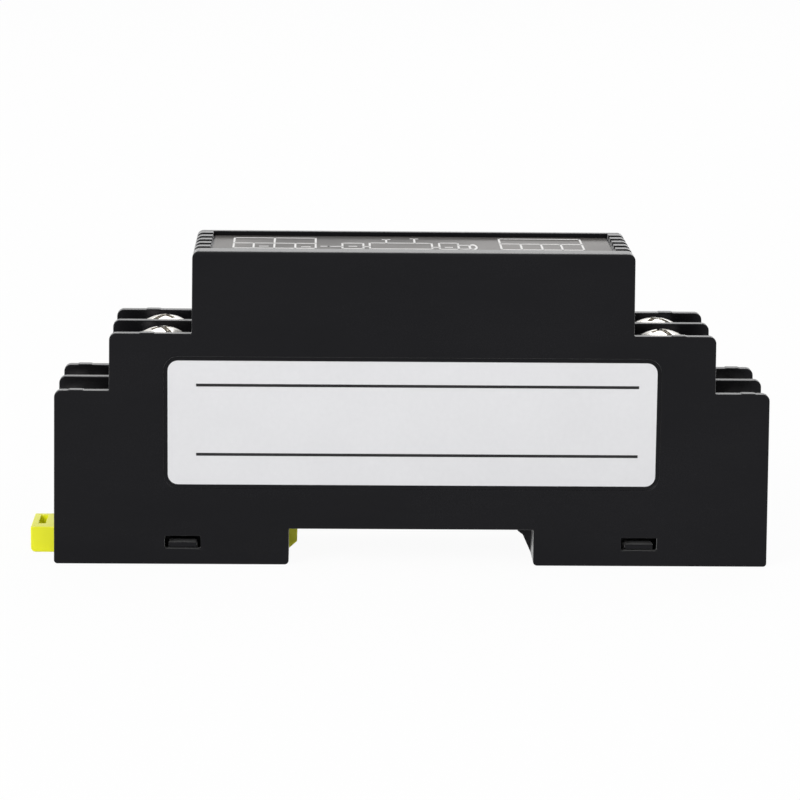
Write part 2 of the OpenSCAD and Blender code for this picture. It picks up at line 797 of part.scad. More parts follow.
// Drum choke on the back of the board
module at_choke() {
    translate([0, board_y, transformer_z]) rotate([-90, 0, 0]) children();
}
module choke_core() {
    color([0.3, 0.29, 0.28]) at_choke() {
        cylinder(r = choke_r, h = choke_flange);
        cylinder(r = choke_core_r, h = choke_h);
        translate([0, 0, choke_h - choke_flange]) cylinder(r = choke_r, h = choke_flange);
    }
}
module choke_winding() {
    color([0.72, 0.42, 0.2]) at_choke() difference() {
        translate([0, 0, choke_flange])
            cylinder(r = choke_r - choke_winding_gap, h = choke_h - 2 * choke_flange);
        cylinder(r = choke_core_r, h = choke_h);
    }
}

// Moulded chip on the front of the board, with bent leads along two sides
module chip(w, d, h, leads) {
    slab(-board_y - chip_body_lift - d, -board_y - chip_body_lift) square([w, h], center = true);
    for (i = [0:leads - 1]) for (s = [-1, 1])
        translate([(i - (leads - 1) / 2) * w / leads, 0, s * h / 2]) {
            box([-lead_w / 2, -board_y - lead_t, -lead_out], [lead_w / 2, -board_y, lead_out]);
            box([-lead_w / 2, -board_y - chip_body_lift - d / 2, -lead_t], [lead_w / 2, -board_y, lead_t]);
        }
}
// Places on the board, as shares of its half length, and of the height of its upper part
opto_place_shares = [-0.22, 0.22];
amp_place_shares = [0.17, 0.22];
reg_place_share = 0.71;
diode_place_share = -0.71;
resistor_place_shares = [0.62, 0.69, 0.76, 0.83];
function low_on_board(share) = [share * board_low_x, 0, transformer_z];
function on_board(shares) = [shares[0] * board_up_x, 0, board_mid + shares[1] * (board_top - board_mid)];

module optocoupler() {
    color([0.92, 0.92, 0.9]) translate(on_board(opto_place_shares)) chip(opto_w, opto_d, opto_h, opto_leads);
}
module amplifier_chip() {
    color([0.1, 0.1, 0.1]) translate(on_board(amp_place_shares)) chip(amp_w, amp_d, amp_h, amp_leads);
}
module regulator_chip() {
    color([0.1, 0.1, 0.1]) translate(low_on_board(reg_place_share)) chip(reg_w, reg_d, reg_h, reg_leads);
}
module rectifier_diodes() {
    color([0.1, 0.1, 0.1]) translate(low_on_board(diode_place_share)) for (s = [-1, 1])
        translate([0, 0, s * diode_pitch / 2])
            slab(-board_y - diode_d, -board_y) square([diode_w, diode_h], center = true);
}
module chip_resistors() {
    color([0.15, 0.15, 0.16]) for (share = resistor_place_shares) for (s = [-1, 1])
        translate([s * board_low_x * share, 0, transformer_z])
            slab(board_y, board_y + resistor_d) square([resistor_w, resistor_h], center = true);
}

// Trimmer at the board's top edge, with its adjusting screw in a round pocket
module at_trimmer(side) {
    translate([side * trimmer_x, -board_y - trimmer_d / 2, board_top - trimmer_drop]) children();
}
module trimmer(side) {
    color([0.15, 0.3, 0.65]) at_trimmer(side) difference() {
        box([-trimmer_w / 2, -trimmer_d / 2, -trimmer_h], [trimmer_w / 2, trimmer_d / 2, 0]);
        translate([0, 0, -trimmer_pocket])
            cylinder(r = trimmer_screw_r + thread_gap, h = trimmer_pocket + overrun);
    }
}
module trimmer_screw(side) {
    color([0.8, 0.65, 0.3]) at_trimmer(side) difference() {
        translate([0, 0, -trimmer_pocket])
            cylinder(r = trimmer_screw_r, h = trimmer_pocket + trimmer_screw_out);
        box([-trimmer_screw_r - overrun, -trimmer_slot_w / 2, trimmer_screw_out - trimmer_slot_d],
            [trimmer_screw_r + overrun, trimmer_slot_w / 2, trimmer_screw_out + overrun]);
    }
}

// Power light: a domed lens under the cover's hole, with two legs bent to the board
module power_light() {
    color([0.3, 0.8, 0.35]) translate([light_x, light_y, lid_under - light_drop]) {
        translate([0, 0, -light_r]) sphere(r = light_r);
        translate([0, 0, -light_h]) cylinder(r = light_r, h = light_h - light_r);
        translate([0, 0, -light_h]) cylinder(r = light_rim_r, h = light_rim_h);
        for (s = [-1, 1]) translate([s * light_leg_out, 0, -light_h]) {
            box([-light_leg / 2, -light_leg / 2, -light_r], [light_leg / 2, light_leg / 2, 0]);
            box([-light_leg / 2, -light_leg / 2, -light_r - light_leg],
                [light_leg / 2, -board_y - light_y, -light_r]);
        }
    }
}

base_shell();
side_cover();
top_cover();
rail_foot();
rating_label();
top_label();
in_upper_bay(-1, -1) contact();  // contact_upper_left_front
in_upper_bay(-1, 1) contact();  // contact_upper_left_back
in_upper_bay(1, -1) contact();  // contact_upper_right_front
in_upper_bay(1, 1) contact();  // contact_upper_right_back
in_lower_bay(-1, -1) contact();  // contact_lower_left_front
in_lower_bay(-1, 1) contact();  // contact_lower_left_back
in_lower_bay(1, -1) contact();  // contact_lower_right_front
in_lower_bay(1, 1) contact();  // contact_lower_right_back
in_upper_bay(-1, -1) clamp_plate();  // clamp_upper_left_front
in_upper_bay(-1, 1) clamp_plate();  // clamp_upper_left_back
in_upper_bay(1, -1) clamp_plate();  // clamp_upper_right_front
in_upper_bay(1, 1) clamp_plate();  // clamp_upper_right_back
in_lower_bay(-1, -1) clamp_plate();  // clamp_lower_left_front
in_lower_bay(-1, 1) clamp_plate();  // clamp_lower_left_back
in_lower_bay(1, -1) clamp_plate();  // clamp_lower_right_front
in_lower_bay(1, 1) clamp_plate();  // clamp_lower_right_back
in_upper_bay(-1, -1) terminal_screw(slot_turns[0]);  // screw_upper_left_front
in_upper_bay(-1, 1) terminal_screw(slot_turns[1]);  // screw_upper_left_back
in_upper_bay(1, -1) terminal_screw(slot_turns[2]);  // screw_upper_right_front
in_upper_bay(1, 1) terminal_screw(slot_turns[3]);  // screw_upper_right_back
in_lower_bay(-1, -1) terminal_screw(slot_turns[4]);  // screw_lower_left_front
in_lower_bay(-1, 1) terminal_screw(slot_turns[5]);  // screw_lower_left_back
in_lower_bay(1, -1) terminal_screw(slot_turns[6]);  // screw_lower_right_front
in_lower_bay(1, 1) terminal_screw(slot_turns[7]);  // screw_lower_right_back
circuit_board();
transformer_core();
transformer_bobbin();
transformer_winding();
capacitor(-1);  // input_capacitor
capacitor(1);  // output_capacitor
choke_core();
choke_winding();
optocoupler();
amplifier_chip();
regulator_chip();
rectifier_diodes();
chip_resistors();
trimmer(-1);  // zero_trimmer
trimmer_screw(-1);  // zero_trimmer_screw
trimmer(1);  // span_trimmer
trimmer_screw(1);  // span_trimmer_screw
power_light();
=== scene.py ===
"""Finishes, printed lines and studio for a signal isolator on a 35 mm mounting rail."""

import math

import bmesh
import bpy
from mathutils import Matrix, Vector


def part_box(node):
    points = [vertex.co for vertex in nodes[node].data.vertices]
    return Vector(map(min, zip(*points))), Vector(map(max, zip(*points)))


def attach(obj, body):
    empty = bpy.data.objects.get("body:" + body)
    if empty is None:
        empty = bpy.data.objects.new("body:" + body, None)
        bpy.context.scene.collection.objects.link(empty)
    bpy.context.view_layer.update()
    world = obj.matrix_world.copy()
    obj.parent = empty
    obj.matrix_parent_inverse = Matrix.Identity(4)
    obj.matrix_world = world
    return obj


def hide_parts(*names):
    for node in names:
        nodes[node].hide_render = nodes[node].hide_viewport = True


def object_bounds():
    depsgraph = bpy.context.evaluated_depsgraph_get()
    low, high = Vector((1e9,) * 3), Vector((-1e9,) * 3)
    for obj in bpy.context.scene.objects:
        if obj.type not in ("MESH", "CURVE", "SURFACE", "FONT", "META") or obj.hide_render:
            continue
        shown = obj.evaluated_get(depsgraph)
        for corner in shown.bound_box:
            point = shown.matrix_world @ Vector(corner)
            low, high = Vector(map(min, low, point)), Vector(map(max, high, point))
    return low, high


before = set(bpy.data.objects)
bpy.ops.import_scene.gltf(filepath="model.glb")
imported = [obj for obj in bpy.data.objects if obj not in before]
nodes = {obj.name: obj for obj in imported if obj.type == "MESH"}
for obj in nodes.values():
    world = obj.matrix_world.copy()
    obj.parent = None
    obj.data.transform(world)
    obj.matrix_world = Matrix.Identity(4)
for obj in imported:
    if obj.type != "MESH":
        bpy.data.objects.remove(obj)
cad_low, cad_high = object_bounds()
MM = 0.001


# Camera: a long lens half a metre before the label side and a little above it,
# turned as the photograph's was, with the horizon hidden behind the far floor.
CAMERA_PLACE = (-13.66, -521.73, 117.56)
CAMERA_LENS = 160.27
CAMERA_SENSOR = 36
CAMERA_YAW = 1.325
CAMERA_PITCH = 10.883
CAMERA_ROLL = 0.591
CAMERA_REACH = (0.01, 100)

camera_data = bpy.data.cameras.new("photo_camera")
camera_data.lens = CAMERA_LENS
camera_data.sensor_width = CAMERA_SENSOR
camera_data.clip_start, camera_data.clip_end = CAMERA_REACH
camera = bpy.data.objects.new("photo_camera", camera_data)
bpy.context.scene.collection.objects.link(camera)
camera.matrix_world = (
    Matrix.Translation(Vector(CAMERA_PLACE) * MM)
    @ Matrix.Rotation(math.radians(-CAMERA_YAW), 4, "Z")
    @ Matrix.Rotation(math.radians(90 - CAMERA_PITCH), 4, "X")
    @ Matrix.Rotation(math.radians(CAMERA_ROLL), 4, "Z")
)
bpy.context.scene.camera = camera
bpy.context.scene.view_settings.view_transform = "Standard"


# Studio: a white room, a wide soft lamp overhead on the left and two weaker ones, on the
# right and behind, and a pale table that keeps the object's shadow and is clear from below.
ROOM_GLOW = 0.38
TABLE_COLOUR = (0.86, 0.86, 0.86, 1)
TABLE_GLOW = 0.95
TABLE_RADIUS = 6
TABLE_SIDES = 64
TABLE_GAP = 0.02
LAMPS = (
    # place in metres, size in metres, power in watts
    ((-0.8, -0.95, 0.8), 0.9, 13.0),
    ((0.9, -0.7, 0.7), 0.9, 3.7),
    ((0.1, 0.8, 0.9), 0.9, 4.7),
)


class Quantity:
    """A socket of a finish's nodes, with which Python can calculate."""

    def __init__(self, finish, socket):
        self.finish = finish
        self.socket = socket

    def calculate(self, operation, *values, clamp=False):
        """The result of a Math node on these values."""
        settings = {"operation": operation, "use_clamp": clamp}
        return self.finish.node("ShaderNodeMath", settings, dict(enumerate(values)))

    def __add__(self, other):
        return self.calculate("ADD", self, other)

    def __radd__(self, other):
        return self.calculate("ADD", other, self)

    def __sub__(self, other):
        return self.calculate("SUBTRACT", self, other)

    def __mul__(self, other):
        return self.calculate("MULTIPLY", self, other)

    def clamped(self):
        """Held between 0 and 1."""
        return self.calculate("ADD", self, 0.0, clamp=True)

    def stretched(self, low, high):
        """0 at low and 1 at high, held between."""
        return self.calculate("DIVIDE", self - low, high - low, clamp=True)

    def swing(self, width):
        """A noise as small steps up and down from zero, width from end to end."""
        return (self - 0.5) * width


class Finish:
    """The look of one surface, made of shader nodes."""

    def __init__(self, name, tree=None):
        if tree is None:
            self.material = bpy.data.materials.new(name)
            self.material.use_nodes = True
            tree = self.material.node_tree
        self.tree = tree
        tree.nodes.clear()

    def node(self, kind, settings=None, inputs=None, output=0):
        """Adds a node, sets or links its inputs, and gives one of its outputs."""
        made = self.tree.nodes.new(kind)
        for key, value in (settings or {}).items():
            setattr(made, key, value)
        for key, value in (inputs or {}).items():
            if isinstance(value, Quantity):
                self.tree.links.new(value.socket, made.inputs[key])
            else:
                made.inputs[key].default_value = value
        return Quantity(self, made.outputs[output]) if made.outputs else None

    def blend(self, share, first, second):
        """A colour between two, by a share from 0 to 1."""
        settings = {"data_type": "RGBA", "clamp_factor": True}
        return self.node("ShaderNodeMix", settings, {0: share, 6: first, 7: second}, output=2)

    def place(self, scale=(1, 1, 1), turn=(0, 0, 0), centre=(0, 0, 0)):
        """Object coordinates, moved so that centre is the origin, then turned and scaled."""
        spot = self.node("ShaderNodeTexCoord", output="Object")
        moved = self.node("ShaderNodeVectorMath", {"operation": "SUBTRACT"}, {0: spot, 1: centre})
        values = {"Vector": moved, "Rotation": turn, "Scale": scale}
        return self.node("ShaderNodeMapping", {}, values)

    def noise(self, size, detail=3.0, rough=0.55, spot=None):
        """Uneven values about 0.5, in patches of about size millimetres."""
        spot = spot or self.place()
        values = {"Vector": spot, "Scale": 1 / (size * MM), "Detail": detail, "Roughness": rough}
        return self.node("ShaderNodeTexNoise", {}, values)

    def bump(self, height, depth):
        """A normal from a height of 0 to 1 that stands for depth millimetres."""
        values = {"Height": height, "Distance": depth * MM, "Strength": 1.0}
        return self.node("ShaderNodeBump", {}, values)

    def surface(self, **sockets):
        """Ends the finish in one shader. Sockets have Blender's names, with _ for a space."""
        values = {key.replace("_", " "): value for key, value in sockets.items()}
        shader = self.node("ShaderNodeBsdfPrincipled", {}, values)
        self.node("ShaderNodeOutputMaterial", {}, {"Surface": shader})
        return self.material


def seen_rays(finish):
    """1 for the rays that show the room itself: straight, in a gloss or through glass."""
    rays = [
        finish.node("ShaderNodeLightPath", output=f"Is {kind} Ray")
        for kind in ("Camera", "Glossy", "Transmission")
    ]
    return (rays[0] + rays[1] + rays[2]).clamped()


world = bpy.data.worlds.new("white_room")
bpy.context.scene.world = world
world.use_nodes = True
room = Finish("white_room", world.node_tree)
glow = ROOM_GLOW + seen_rays(room) * (1 - ROOM_GLOW)
backdrop = room.node("ShaderNodeBackground", {}, {"Color": (1, 1, 1, 1), "Strength": glow})
room.node("ShaderNodeOutputWorld", {}, {"Surface": backdrop})

table_form = bmesh.new()
bmesh.ops.create_circle(table_form, cap_ends=True, radius=TABLE_RADIUS, segments=TABLE_SIDES)
table_height = cad_low.z - TABLE_GAP * MM
bmesh.ops.translate(table_form, verts=table_form.verts, vec=(0, 0, table_height))
table_mesh = bpy.data.meshes.new("table")
table_form.to_mesh(table_mesh)
table_form.free()
table = bpy.data.objects.new("table", table_mesh)
bpy.context.scene.collection.objects.link(table)
table_finish = Finish("table_white")
table_matt = table_finish.node("ShaderNodeBsdfDiffuse", {}, {"Color": TABLE_COLOUR})
table_lit = table_finish.node("ShaderNodeEmission", {}, {"Color": (1, 1, 1, 1)})
table_share = seen_rays(table_finish) * TABLE_GLOW
table_mixed = table_finish.node(
    "ShaderNodeMixShader", {}, {0: table_share, 1: table_matt, 2: table_lit}
)
table_below = table_finish.node("ShaderNodeNewGeometry", output="Backfacing")
table_clear = table_finish.node("ShaderNodeBsdfTransparent")
table_shown = table_finish.node(
    "ShaderNodeMixShader", {}, {0: table_below, 1: table_mixed, 2: table_clear}
)
table_finish.node("ShaderNodeOutputMaterial", {}, {"Surface": table_shown})
table_mesh.materials.append(table_finish.material)

for number, (lamp_place, lamp_size, lamp_power) in enumerate(LAMPS):
    lamp_data = bpy.data.lights.new(f"soft_lamp_{number}", "AREA")
    lamp_data.shape = "DISK"
    lamp_data.size = lamp_size
    lamp_data.energy = lamp_power
    lamp = bpy.data.objects.new(f"soft_lamp_{number}", lamp_data)
    bpy.context.scene.collection.objects.link(lamp)
    lamp.location = lamp_place
    lamp.rotation_euler = Vector(lamp_place).to_track_quat("Z", "Y").to_euler()


# Housing: a base shell and the cover on the label side, injection-moulded in black
# flame-retardant plastic, spark-eroded to a fine satin, snapped together at the parting line.
HOUSING_BLACK = (0.0040, 0.0040, 0.0046, 1)
HOUSING_WORN = (0.0062, 0.0061, 0.0068, 1)
HOUSING_GLOSS = (0.25, 0.25, 0.27, 1)
HOUSING_BLOOM = 0.6
BLOOM_ROUGHNESS = 0.3
HOUSING_ROUGHNESS = 0.26
HOUSING_GRAIN = 0.11
GRAIN_DEPTH = 0.005
FLOW_SIZE = 9.0
PATCH_SIZE = 26.0
MERGE_REACH = 1e-6
EDGE_EASE = 0.14
EDGE_STEPS = 3
PARTING_Y = -7.8
PARTING_REACH = 0.01
PARTING_EASE = 0.035
SLOT_REACH = 0.2
FOLD_AREA = 0.5
SHARP_ANGLE = 30
SMOOTH_ANGLE = 35
FLAT_ANGLE = 0.05

slot_reach = Vector((SLOT_REACH, SLOT_REACH, SLOT_REACH)) * MM
contact_boxes = [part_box(node) for node in nodes if node.startswith("contact_")]


def in_parting_plane(edge):
    """True for an edge along the joint of the housing's two halves."""
    return all(abs(vert.co.y / MM - PARTING_Y) < PARTING_REACH for vert in edge.verts)


def round_contact(edge):
    """True for an edge of the close-fitting slot that holds a contact."""
    for low, high in contact_boxes:
        low, high = low - slot_reach, high + slot_reach
        if all(low[i] < vert.co[i] < high[i] for vert in edge.verts for i in range(3)):
            return True
    return False


def clean_form(mesh):
    """A mesh as a closed skin of flat faces, and the layer that holds each face's number."""
    form = bmesh.new()
    form.from_mesh(mesh)
    bmesh.ops.remove_doubles(form, verts=form.verts, dist=MERGE_REACH)
    bmesh.ops.dissolve_limit(
        form, angle_limit=math.radians(FLAT_ANGLE), verts=form.verts, edges=form.edges
    )
    number = form.faces.layers.int.new("number")
    for index, face in enumerate(form.faces):
        face[number] = index
    return form, number


def sharp_edges(form):
    """The edges where two faces meet at more than SHARP_ANGLE."""
    return [
        edge
        for edge in form.edges
        if len(edge.link_faces) == 2 and edge.calc_face_angle(0) > math.radians(SHARP_ANGLE)
    ]


def ease_edges(form, edges, width, steps):
    """Rounds edges of a form by a width in millimetres."""
    bmesh.ops.bevel(
        form,
        geom=edges,
        offset=width * MM,
        offset_type="OFFSET",
        segments=steps,
        profile=0.5,
        affect="EDGES",
        material=-1,
        clamp_overlap=False,
    )


def folded_faces(form):
    """The faces whose outline crosses itself, so that their triangles lie over one another."""
    sums = {}
    for loops in form.calc_loop_triangles():
        first, second, third = (loop.vert.co for loop in loops)
        part = (second - first).cross(third - first) / 2
        net, area = sums.get(loops[0].face, (Vector(), 0.0))
        sums[loops[0].face] = (net + part, area + part.length)
    limit = FOLD_AREA * MM * MM
    return [face for face, (net, area) in sums.items() if area - net.length > limit]


def eased_copy(node, body, material, ease=EDGE_EASE, steps=EDGE_STEPS):
    """A node's own solid with its sharp edges eased by a hair, in its finish and its place.

    Faces too narrow for the ease keep their edges, and so do the slots round the contacts."""
    mesh = nodes[node].data.copy()
    moulded_half = node in ("base_shell", "side_cover")
    left_sharp = set()
    while True:
        form, number = clean_form(mesh)
        edges = [
            edge
            for edge in sharp_edges(form)
            if not left_sharp.intersection(face[number] for face in edge.link_faces)
            and not (moulded_half and (in_parting_plane(edge) or round_contact(edge)))
        ]
        ease_edges(form, edges, ease, steps)
        folded = {face[number] for face in folded_faces(form)} - left_sharp
        if not folded:
            break
        left_sharp |= folded
        form.free()
    if moulded_half:
        joint = [edge for edge in sharp_edges(form) if in_parting_plane(edge)]
        ease_edges(form, joint, PARTING_EASE, 1)
    form.faces.layers.int.remove(number)
    low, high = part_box(node)
    for vert in form.verts:
        vert.co = [min(max(vert.co[i], low[i]), high[i]) for i in range(3)]
    form.to_mesh(mesh)
    form.free()
    piece = bpy.data.objects.new(node + "_eased", mesh)
    bpy.context.scene.collection.objects.link(piece)
    mesh.materials.clear()
    mesh.materials.append(material)
    mesh.shade_smooth()
    mesh.set_sharp_from_angle(angle=math.radians(SMOOTH_ANGLE))
    level = piece.modifiers.new("even_faces", "WEIGHTED_NORMAL")
    level.keep_sharp = True
    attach(piece, body)
    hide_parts(node)


def satin_black(name, grain=HOUSING_GRAIN, depth=GRAIN_DEPTH, rough=HOUSING_ROUGHNESS):
    """Black moulded plastic: a fine grain, faint flow marks, lighter where it is handled."""
    finish = Finish(name)
    fine = finish.noise(grain, detail=2.0, rough=0.6)
    flow = finish.noise(FLOW_SIZE, detail=4.0, rough=0.6, spot=finish.place(scale=(0.35, 1, 1)))
    patches = finish.noise(PATCH_SIZE, detail=2.0)
    worn = (flow * 0.6 + patches * 0.4).stretched(0.35, 0.7)
    return finish.surface(
        Base_Color=finish.blend(worn, HOUSING_BLACK, HOUSING_WORN),
        Roughness=rough + fine.swing(0.10) + flow.swing(0.12),
        Normal=finish.bump(fine * 0.8 + flow * 0.2, depth),
        Specular_Tint=HOUSING_GLOSS,
        Sheen_Weight=HOUSING_BLOOM,
        Sheen_Roughness=BLOOM_ROUGHNESS,
    )


housing_black = satin_black("housing_satin_black")
eased_copy("base_shell", "housing", housing_black)
eased_copy("side_cover", "housing", housing_black)


# Top cover: a black moulded plate with a ribbed finger grip at each end, pressed into
# the top of the housing by four barbed legs.
COVER_EASE = 0.09
COVER_GRAIN = 0.09
COVER_DEPTH = 0.004
COVER_ROUGHNESS = 0.24

cover_black = satin_black("cover_satin_black", COVER_GRAIN, COVER_DEPTH, COVER_ROUGHNESS)
eased_copy("top_cover", "housing", cover_black, ease=COVER_EASE)


# Rail foot: a sliding latch moulded in one piece in yellow-green plastic, with two
# spring arms and a bevelled tongue that goes under the edge of the rail.
FOOT_COLOUR = (0.95, 0.955, 0.02, 1)
FOOT_SHADE = (0.90, 0.915, 0.015, 1)
FOOT_EASE = 0.16
FOOT_ROUGHNESS = 0.38
FOOT_GRAIN_DEPTH = 0.006

foot_finish = Finish("foot_yellow_green")
foot_grain = foot_finish.noise(0.14, detail=2.0)
foot_flow = foot_finish.noise(4.0, detail=3.0, spot=foot_finish.place(scale=(0.4, 1, 1)))
foot_material = foot_finish.surface(
    Base_Color=foot_finish.blend(foot_flow.stretched(0.35, 0.7), FOOT_COLOUR, FOOT_SHADE),
    Roughness=FOOT_ROUGHNESS + foot_grain.swing(0.12),
    Normal=foot_finish.bump(foot_grain, FOOT_GRAIN_DEPTH),
    Specular_IOR_Level=0.4,
)
eased_copy("rail_foot", "foot", foot_material, ease=FOOT_EASE)


# Terminals: eight tinned brass contacts, each with a zinc-plated clamp plate and a
# nickel-plated steel screw with a slot and a cross, in two tiers of two rows at each end.
TIN_COLOUR = (0.66, 0.65, 0.61, 1)
TIN_DULL = (0.42, 0.41, 0.38, 1)
ZINC_COLOUR = (0.62, 0.62, 0.62, 1)
ZINC_BLUE = (0.50, 0.53, 0.58, 1)
NICKEL_COLOUR = (0.80, 0.78, 0.74, 1)
NICKEL_WARM = (0.62, 0.57, 0.50, 1)
TERMINAL_EASE = 0.08
SCREW_EASE = 0.05
TERMINAL_STEPS = 2
TIN_ROUGHNESS = 0.30
ZINC_ROUGHNESS = 0.33
NICKEL_ROUGHNESS = 0.20
MARK_DEPTH = 0.004
RING_PITCH = 0.09
RING_DEPTH = 0.0012


def plated(name, bright, dull, rough, streak=(1, 1, 1)):
    """Plated metal: bright, clouded in patches, with fine marks drawn out one way."""
    finish = Finish(name)
    clouds = finish.noise(1.6, detail=4.0)
    marks = finish.noise(0.12, detail=3.0, spot=finish.place(scale=streak))
    return finish.surface(
        Base_Color=finish.blend(clouds.stretched(0.42, 0.72), bright, dull),
        Metallic=1.0,
        Roughness=rough + clouds.swing(0.16) + marks.swing(0.10),
        Normal=finish.bump(marks, MARK_DEPTH),
    )


def turned_nickel(name, axis):
    """Nickel on a turned head: fine rings about the screw's axis and a warm tarnish."""
    finish = Finish(name)
    spot = finish.place(centre=axis)
    across = {0: spot, 1: (1, 1, 0)}
    reach = finish.node("ShaderNodeVectorMath", {"operation": "MULTIPLY"}, across)
    length = {"operation": "LENGTH"}
    radius = finish.node("ShaderNodeVectorMath", length, {0: reach}, output="Value")
    rings = radius.calculate("SINE", radius * (2 * math.pi / (RING_PITCH * MM)))
    clouds = finish.noise(1.1, detail=4.0, spot=spot)
    return finish.surface(
        Base_Color=finish.blend(clouds.stretched(0.5, 0.8), NICKEL_COLOUR, NICKEL_WARM),
        Metallic=1.0,
        Roughness=NICKEL_ROUGHNESS + clouds.swing(0.14),
        Normal=finish.bump(rings * 0.5 + 0.5, RING_DEPTH),
    )


contact_tin = plated("contact_tin", TIN_COLOUR, TIN_DULL, TIN_ROUGHNESS, streak=(0.15, 1, 1))
clamp_zinc = plated("clamp_zinc", ZINC_COLOUR, ZINC_BLUE, ZINC_ROUGHNESS, streak=(1, 0.2, 1))
terminals = [
    f"{tier}_{side}_{row}"
    for tier in ("upper", "lower")
    for side in ("left", "right")
    for row in ("front", "back")
]
for terminal in terminals:
    contact, clamp, screw = (kind + terminal for kind in ("contact_", "clamp_", "screw_"))
    low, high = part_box(screw)
    nickel = turned_nickel("nickel_" + terminal, (low + high) / 2)
    eased_copy(contact, "housing", contact_tin, TERMINAL_EASE, TERMINAL_STEPS)
    eased_copy(clamp, clamp, clamp_zinc, TERMINAL_EASE, TERMINAL_STEPS)
    eased_copy(screw, screw, nickel, SCREW_EASE, TERMINAL_STEPS)


# Rating label: a glossy white film glued into the recess of the label side, with two
# thin black rules printed across it. Its text is left off.
LABEL_WHITE = (0.735, 0.735, 0.750, 1)
LABEL_SHADE = (0.700, 0.700, 0.715, 1)
INK_BLACK = (0.012, 0.012, 0.013, 1)
RULE_X = (-31.6, 33.1)
RULE_HEIGHTS = (21.4, 11.1)
RULE_WIDTH = 0.42
INK_THICKNESS = 0.02
INK_ROUGHNESS = 0.45
INK_GRAIN_DEPTH = 0.003
INK_FADE = 0.85
INK_HAZE = 0.01
LABEL_ROUGHNESS = 0.24
LABEL_WAVE_DEPTH = 0.05


def dress(node, material):
    """Gives a node of the frame its finish."""
    mesh = nodes[node].data
    mesh.materials.clear()
    mesh.materials.append(material)


def add_strip(form, low, high):
    """Adds a thin printed bar between two corners, in millimetres."""
    size = (Vector(high) - Vector(low)) * MM
    middle = (Vector(high) + Vector(low)) / 2 * MM
    shape = Matrix.Translation(middle) @ Matrix.Diagonal((*size, 1))
    bmesh.ops.create_cube(form, size=1, matrix=shape)


def printed(name, form, material):
    """A printed layer on the housing."""
    mesh = bpy.data.meshes.new(name)
    form.to_mesh(mesh)
    form.free()
    mesh.materials.append(material)
    piece = bpy.data.objects.new(name, mesh)
    bpy.context.scene.collection.objects.link(piece)
    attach(piece, "housing")


def ink(name, colour):
    """Printing ink with slightly uneven cover and sheen."""
    finish = Finish(name)
    cover = finish.noise(0.25, detail=3.0)
    worn = tuple(INK_FADE * part + INK_HAZE for part in colour[:3]) + (1,)
    return finish.surface(
        Base_Color=finish.blend(cover.stretched(0.5, 0.8), colour, worn),
        Roughness=INK_ROUGHNESS + cover.swing(0.2),
        Normal=finish.bump(cover, INK_GRAIN_DEPTH),
        Specular_IOR_Level=0.25,
    )


label_finish = Finish("label_gloss_white")
label_mottle = label_finish.noise(0.8, detail=4.0)
label_wave = label_finish.noise(14.0, detail=2.0)
label_material = label_finish.surface(
    Base_Color=label_finish.blend(
        (label_mottle * 0.4 + label_wave * 0.6).stretched(0.35, 0.7), LABEL_WHITE, LABEL_SHADE
    ),
    Roughness=LABEL_ROUGHNESS + label_mottle.swing(0.10),
    Normal=label_finish.bump(label_wave * 0.9 + label_mottle * 0.1, LABEL_WAVE_DEPTH),
    Specular_IOR_Level=0.4,
)
dress("rating_label", label_material)

label_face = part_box("rating_label")[0].y / MM
rules_form = bmesh.new()
for height in RULE_HEIGHTS:
    add_strip(
        rules_form,
        (RULE_X[0], label_face - INK_THICKNESS, height - RULE_WIDTH / 2),
        (RULE_X[1], label_face + INK_THICKNESS, height + RULE_WIDTH / 2),
    )
printed("rating_label_rules", rules_form, ink("ink_black", INK_BLACK))


# Top film: glossy black film stuck on the sunk plate of the top cover, with a generic
# wiring diagram in thin white lines: two tables of terminals, three boxes and a light ring.
FILM_BLACK = (0.0150, 0.0140, 0.0135, 1)
FILM_BROWN = (0.0210, 0.0185, 0.0165, 1)
FILM_TINT = (1.0, 0.93, 0.87, 1)
INK_WHITE = (0.78, 0.77, 0.76, 1)
FILM_ROUGHNESS = 0.4
FILM_WAVE_DEPTH = 0.02
FILM_COAT = (0.18, 0.3)
COAT_ROUGHNESS = 0.12
# Lines along X are wider, because the low view flattens them.
LINE_WIDTH = 0.3
LINE_DEPTH = 0.5
# Places of the upright and level lines, and which uprights reach the top line.
LEFT_TABLE = {
    "x": (-26.4, -23.45, -20.4, -17.3, -14.3),
    "y": (6.9, 1.5, -3.45),
    "tall": (0, 2, 4),
}
RIGHT_TABLE = {
    "x": (13.1, 16.1, 19.15, 22.1, 25.25),
    "y": (7.4, 2.2, -3.45),
    "tall": (0, 4),
}
BOXES = (
    # x of the left and right sides, y of the far and near sides
    (-10.35, -7.25, 2.0, -3.45),
    (-6.3, 2.9, 2.4, -3.45),
    (4.0, 6.8, 2.7, -3.45),
)
STROKES = (
    # x and y of both ends
    (-13.45, -1.3, -12.4, -1.3),
    (-12.4, -1.3, -10.35, -1.3),
    (-9.3, -1.1, -8.3, -1.1),
    (-7.25, -1.3, -6.3, -1.3),
    (-3.8, 2.4, -3.8, 5.9),
    (-4.3, 5.9, -3.3, 5.9),
    (0.4, 2.4, 0.4, 6.8),
    (-0.1, 6.8, 0.9, 6.8),
    (2.9, -1.6, 4.0, -1.6),
    (4.9, -1.6, 5.8, -1.6),
    (6.8, 0.6, 8.5, 0.6),
    (6.8, -3.2, 8.9, -3.2),
    (-22.5, -1.6, -21.4, -1.6),
    (-16.3, -2.0, -15.2, -2.0),
)
RING_PLACE = (8.95, -1.2)
RING_RADIUS = 0.52
RING_STRETCH = 4.2
RING_SIDES = 32

